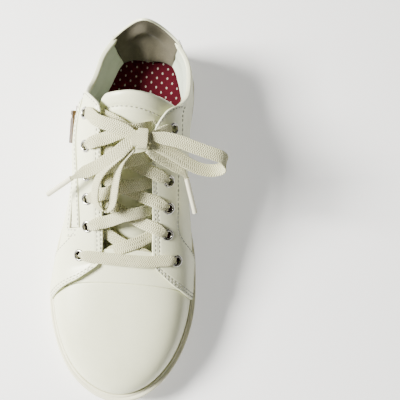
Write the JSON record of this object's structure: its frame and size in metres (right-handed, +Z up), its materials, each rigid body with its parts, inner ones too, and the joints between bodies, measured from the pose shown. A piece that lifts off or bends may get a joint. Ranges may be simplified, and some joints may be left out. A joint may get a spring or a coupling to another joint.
{
  "type": "bowling shoe",
  "caption": "Right-foot laced leather bowling shoe with a side zip, padded collar and rubber cup sole.",
  "frame": {"origin": "on the floor under the middle of the shoe", "axes": "+Z up, toe towards -Y, outer (lateral) side towards -X, inner side towards +X"},
  "size_m": [0.1182, 0.267, 0.1001],
  "materials": {
    "white_leather": "smooth finished leather with a soft sheen",
    "sole_rubber": "moulded off-white rubber, satin",
    "heel_rubber": "matt black rubber",
    "slide_felt": "brushed microfibre sliding pad",
    "foam": "closed cell foam, matt",
    "board": "fibre board",
    "shank_steel": "sprung steel",
    "insole_fabric": "dark red woven cover with pale dots",
    "mint_lining": "grey green lining leather",
    "taupe_suede": "taupe suede, matt",
    "nickel": "polished nickel",
    "lace_cotton": "flat woven cream cotton",
    "aglet_plastic": "clear over cream",
    "zip_tape": "woven tape",
    "zip_brass": "antique brass"
  },
  "bodies": {
    "root": {"aglet_lateral": "aglet_plastic", "aglet_medial": "aglet_plastic", "collar_foam_heel": "foam", "collar_foam_lateral": "foam", "collar_foam_medial": "foam", "collar_lining_lateral": "mint_lining", "collar_lining_medial": "mint_lining", "collar_roll_lateral": "white_leather", "collar_roll_medial": "white_leather", "eyelets_lateral": "nickel", "eyelets_medial": "nickel", "eyestay_lateral": "white_leather", "eyestay_lining_lateral": "mint_lining", "eyestay_lining_medial": "mint_lining", "eyestay_medial": "white_leather", "footbed_cover": "insole_fabric", "footbed_foam": "foam", "heel_counter": "board", "heel_lining": "taupe_suede", "heel_pad": "heel_rubber", "heel_tab": "white_leather", "insole_board": "board", "lace_bar": "lace_cotton", "lace_end_lateral": "lace_cotton", "lace_end_medial": "lace_cotton", "lace_knot": "lace_cotton", "lace_loop_down": "lace_cotton", "lace_loop_side": "lace_cotton", "lace_runs_lateral": "lace_cotton", "lace_runs_medial": "lace_cotton", "lace_strand_lateral": "lace_cotton", "lace_strand_medial": "lace_cotton", "midsole": "foam", "outsole": "sole_rubber", "quarter_lateral": "white_leather", "quarter_lining_lateral": "mint_lining", "quarter_lining_medial": "mint_lining", "quarter_medial": "white_leather", "shank": "shank_steel", "slide_pad": "slide_felt", "toe_cap": "white_leather", "toe_puff": "board", "vamp": "white_leather", "vamp_lining": "mint_lining", "zip_bottom_stop": "zip_brass", "zip_flap": "white_leather", "zip_tape_lower": "zip_tape", "zip_tape_upper": "zip_tape", "zip_teeth_lower": "zip_brass", "zip_teeth_upper": "zip_brass", "zip_top_stops": "zip_brass"},
    "tongue": {"tongue_outer": "white_leather", "tongue_padding": "foam", "tongue_lining": "mint_lining"},
    "zip_slider": {"zip_slider": "zip_brass"},
    "zip_pull": {"zip_pull": "zip_brass"}
  },
  "joints": [
    {"name": "tongue_flex", "type": "hinge", "parent": "root", "child": "tongue", "pos_m": [0.0048, -0.035, 0.044], "axis": [-1, 0, 0], "range_deg": [0, 8]},
    {"name": "zip_travel", "type": "slide", "parent": "root", "child": "zip_slider", "axis": [-0.0182, -0.96, -0.2795], "range_m": [0, 0.066]},
    {"name": "zip_pull_swing", "type": "hinge", "parent": "zip_slider", "child": "zip_pull", "pos_m": [-0.037, 0.05376, 0.06971], "axis": [-0.4858, 0.2528, -0.8367], "range_deg": [0, 140]}
  ]
}
